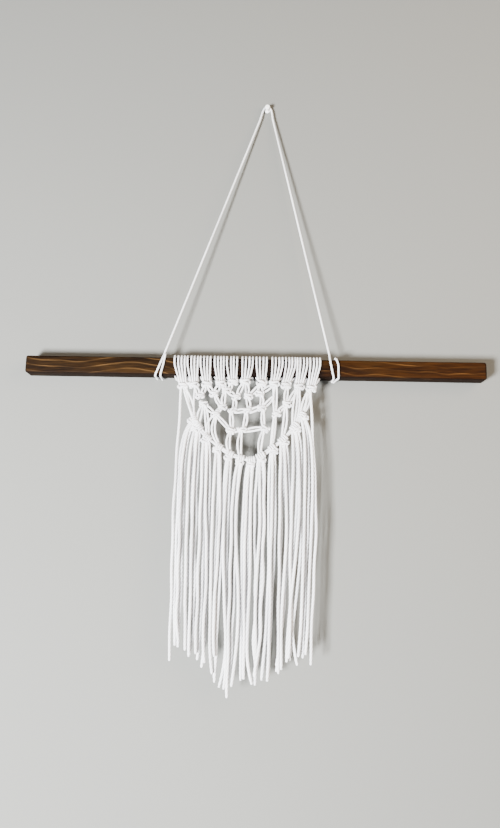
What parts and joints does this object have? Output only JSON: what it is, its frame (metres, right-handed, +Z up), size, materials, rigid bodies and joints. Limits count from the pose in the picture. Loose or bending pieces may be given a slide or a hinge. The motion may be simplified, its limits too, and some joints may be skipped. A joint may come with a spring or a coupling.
{
  "type": "macrame wall hanging",
  "caption": "Knotted cotton panel and long fringe on a stained square bar, hung by a cord from a push pin; the hanging, the panel and the fringe bundles swing.",
  "frame": {"origin": "on the wall, at the middle of the push pin's collar", "axes": "+Z up, +X to the viewer's right along the bar, +Y into the wall"},
  "size_m": [0.508, 0.0407, 0.6677],
  "materials": {
    "cotton": "matte twisted cotton cord, bright white",
    "stained_pine": "dark walnut stain on pine with lighter grain, satin",
    "white_plastic": "smooth moulded white plastic",
    "steel": "bright drawn steel"
  },
  "bodies": {
    "pin": {"pin_head": "white_plastic", "pin_needle": "steel"},
    "bar_and_cord": {"wood_bar": "stained_pine", "hanging_cord": "cotton", "hanging_tie_left": "cotton", "hanging_tie_right": "cotton", "mount_loops_01": "cotton", "mount_loops_02": "cotton", "mount_loops_03": "cotton", "mount_loops_04": "cotton", "mount_loops_05": "cotton", "mount_loops_06": "cotton", "mount_loops_07": "cotton", "mount_loops_08": "cotton", "mount_loops_09": "cotton", "mount_loops_10": "cotton", "mount_loops_11": "cotton"},
    "panel": {"net_knot_01": "cotton", "net_knot_02": "cotton", "net_knot_03": "cotton", "net_knot_04": "cotton", "net_knot_05": "cotton", "net_knot_06": "cotton", "net_knot_07": "cotton", "net_knot_08": "cotton", "net_knot_09": "cotton", "net_knot_10": "cotton", "net_knot_11": "cotton", "net_knot_12": "cotton", "net_knot_13": "cotton", "net_knot_14": "cotton", "net_knot_15": "cotton", "net_knot_16": "cotton", "top_knot_01": "cotton", "top_knot_02": "cotton", "top_knot_03": "cotton", "top_knot_04": "cotton", "top_knot_05": "cotton", "top_knot_06": "cotton", "top_knot_07": "cotton", "top_knot_08": "cotton", "top_knot_09": "cotton", "top_knot_10": "cotton", "top_knot_11": "cotton", "hitch_row": "cotton"},
    "bundle_01": {"fringe_bundle_01": "cotton"},
    "bundle_02": {"fringe_bundle_02": "cotton"},
    "bundle_03": {"fringe_bundle_03": "cotton"},
    "bundle_04": {"fringe_bundle_04": "cotton"},
    "bundle_05": {"fringe_bundle_05": "cotton"},
    "bundle_06": {"fringe_bundle_06": "cotton"},
    "bundle_07": {"fringe_bundle_07": "cotton"},
    "bundle_08": {"fringe_bundle_08": "cotton"},
    "bundle_09": {"fringe_bundle_09": "cotton"},
    "bundle_10": {"fringe_bundle_10": "cotton"},
    "bundle_11": {"fringe_bundle_11": "cotton"},
    "bundle_12": {"fringe_bundle_12": "cotton"},
    "left_strand": {"side_strand_left": "cotton"},
    "right_strand": {"side_strand_right": "cotton"}
  },
  "joints": [
    {"name": "hanging_swing", "type": "hinge", "parent": "pin", "child": "bar_and_cord", "pos_m": [0, -0.0034, 0], "axis": [0, 1, 0], "range_deg": [-20, 20]},
    {"name": "panel_swing", "type": "hinge", "parent": "bar_and_cord", "child": "panel", "pos_m": [-0.017, -0.0244, -0.34195], "axis": [-1, 0, 0], "range_deg": [0, 35]},
    {"name": "bundle_01_swing", "type": "hinge", "parent": "panel", "child": "bundle_01", "pos_m": [-0.075, -0.0244, -0.3888], "axis": [-1, 0, 0], "range_deg": [0, 50]},
    {"name": "bundle_02_swing", "type": "hinge", "parent": "panel", "child": "bundle_02", "pos_m": [-0.0695, -0.0244, -0.3973], "axis": [-1, 0, 0], "range_deg": [0, 50]},
    {"name": "bundle_03_swing", "type": "hinge", "parent": "panel", "child": "bundle_03", "pos_m": [-0.0595, -0.0244, -0.4093], "axis": [-1, 0, 0], "range_deg": [0, 50]},
    {"name": "bundle_04_swing", "type": "hinge", "parent": "panel", "child": "bundle_04", "pos_m": [-0.0465, -0.0244, -0.4193], "axis": [-1, 0, 0], "range_deg": [0, 50]},
    {"name": "bundle_05_swing", "type": "hinge", "parent": "panel", "child": "bundle_05", "pos_m": [-0.0345, -0.0244, -0.4268], "axis": [-1, 0, 0], "range_deg": [0, 50]},
    {"name": "bundle_06_swing", "type": "hinge", "parent": "panel", "child": "bundle_06", "pos_m": [-0.0225, -0.0244, -0.4313], "axis": [-1, 0, 0], "range_deg": [0, 50]},
    {"name": "bundle_07_swing", "type": "hinge", "parent": "panel", "child": "bundle_07", "pos_m": [-0.0115, -0.0244, -0.4333], "axis": [-1, 0, 0], "range_deg": [0, 50]},
    {"name": "bundle_08_swing", "type": "hinge", "parent": "panel", "child": "bundle_08", "pos_m": [-0.0005, -0.0244, -0.4288], "axis": [-1, 0, 0], "range_deg": [0, 50]},
    {"name": "bundle_09_swing", "type": "hinge", "parent": "panel", "child": "bundle_09", "pos_m": [0.012, -0.0244, -0.4198], "axis": [-1, 0, 0], "range_deg": [0, 50]},
    {"name": "bundle_10_swing", "type": "hinge", "parent": "panel", "child": "bundle_10", "pos_m": [0.0235, -0.0244, -0.4103], "axis": [-1, 0, 0], "range_deg": [0, 50]},
    {"name": "bundle_11_swing", "type": "hinge", "parent": "panel", "child": "bundle_11", "pos_m": [0.036, -0.0244, -0.3963], "axis": [-1, 0, 0], "range_deg": [0, 50]},
    {"name": "bundle_12_swing", "type": "hinge", "parent": "panel", "child": "bundle_12", "pos_m": [0.0445, -0.0244, -0.3833], "axis": [-1, 0, 0], "range_deg": [0, 50]},
    {"name": "left_strand_swing", "type": "hinge", "parent": "panel", "child": "left_strand", "pos_m": [-0.0908, -0.0244, -0.3554], "axis": [-1, 0, 0], "range_deg": [0, 50]},
    {"name": "right_strand_swing", "type": "hinge", "parent": "panel", "child": "right_strand", "pos_m": [0.0568, -0.0244, -0.3564], "axis": [-1, 0, 0], "range_deg": [0, 50]}
  ]
}
